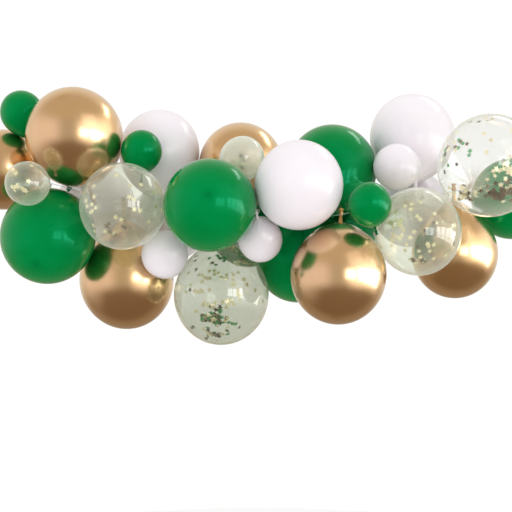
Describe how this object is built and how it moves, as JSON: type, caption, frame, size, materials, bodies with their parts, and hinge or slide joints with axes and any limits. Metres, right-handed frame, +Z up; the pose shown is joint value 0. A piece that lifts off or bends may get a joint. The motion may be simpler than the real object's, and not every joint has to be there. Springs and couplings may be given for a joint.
{
  "type": "balloon garland",
  "caption": "Party garland of large and small latex balloons in chrome gold, green, white and clear with star confetti, tied along a hanging line with a loop at each end.",
  "frame": {"origin": "far end of the left hanging loop, where it sits on its hook", "axes": "+X along the garland from the left loop to the right one, +Z up, and the show side faces -Y"},
  "size_m": [2.0855, 0.8158, 0.7576],
  "materials": {
    "chrome_gold": "mirror-like chrome gold latex",
    "green_latex": "glossy opaque green latex",
    "white_latex": "glossy opaque white latex",
    "clear_latex": "clear, slightly milky latex with gold foil stars inside",
    "nylon_line": "clear nylon line",
    "clear_glue": "soft clear glue"
  },
  "bodies": {
    "root": {"gold_balloon_1": "chrome_gold", "gold_balloon_2": "chrome_gold", "gold_balloon_3": "chrome_gold", "gold_balloon_4": "chrome_gold", "gold_balloon_5": "chrome_gold", "gold_balloon_6": "chrome_gold", "green_balloon_1": "green_latex", "green_balloon_2": "green_latex", "green_balloon_3": "green_latex", "green_balloon_4": "green_latex", "green_balloon_5": "green_latex", "green_balloon_back_1": "green_latex", "green_balloon_back_2": "green_latex", "white_balloon_1": "white_latex", "white_balloon_2": "white_latex", "white_balloon_3": "white_latex", "white_balloon_back_1": "white_latex", "white_balloon_back_2": "white_latex", "white_balloon_back_3": "white_latex", "confetti_balloon_1": "clear_latex", "confetti_balloon_2": "clear_latex", "confetti_balloon_3": "clear_latex", "confetti_balloon_4": "clear_latex", "small_green_balloon_1": "green_latex", "small_green_balloon_2": "green_latex", "small_green_balloon_3": "green_latex", "small_white_balloon_1": "white_latex", "small_white_balloon_2": "white_latex", "small_white_balloon_3": "white_latex", "small_confetti_balloon_1": "clear_latex", "small_confetti_balloon_2": "clear_latex", "hanging_line": "nylon_line", "glue_dot_1": "clear_glue", "glue_dot_2": "clear_glue", "glue_dot_3": "clear_glue", "glue_dot_4": "clear_glue", "glue_dot_5": "clear_glue", "glue_dot_6": "clear_glue", "glue_dot_7": "clear_glue", "glue_dot_8": "clear_glue"}
  },
  "joints": []
}
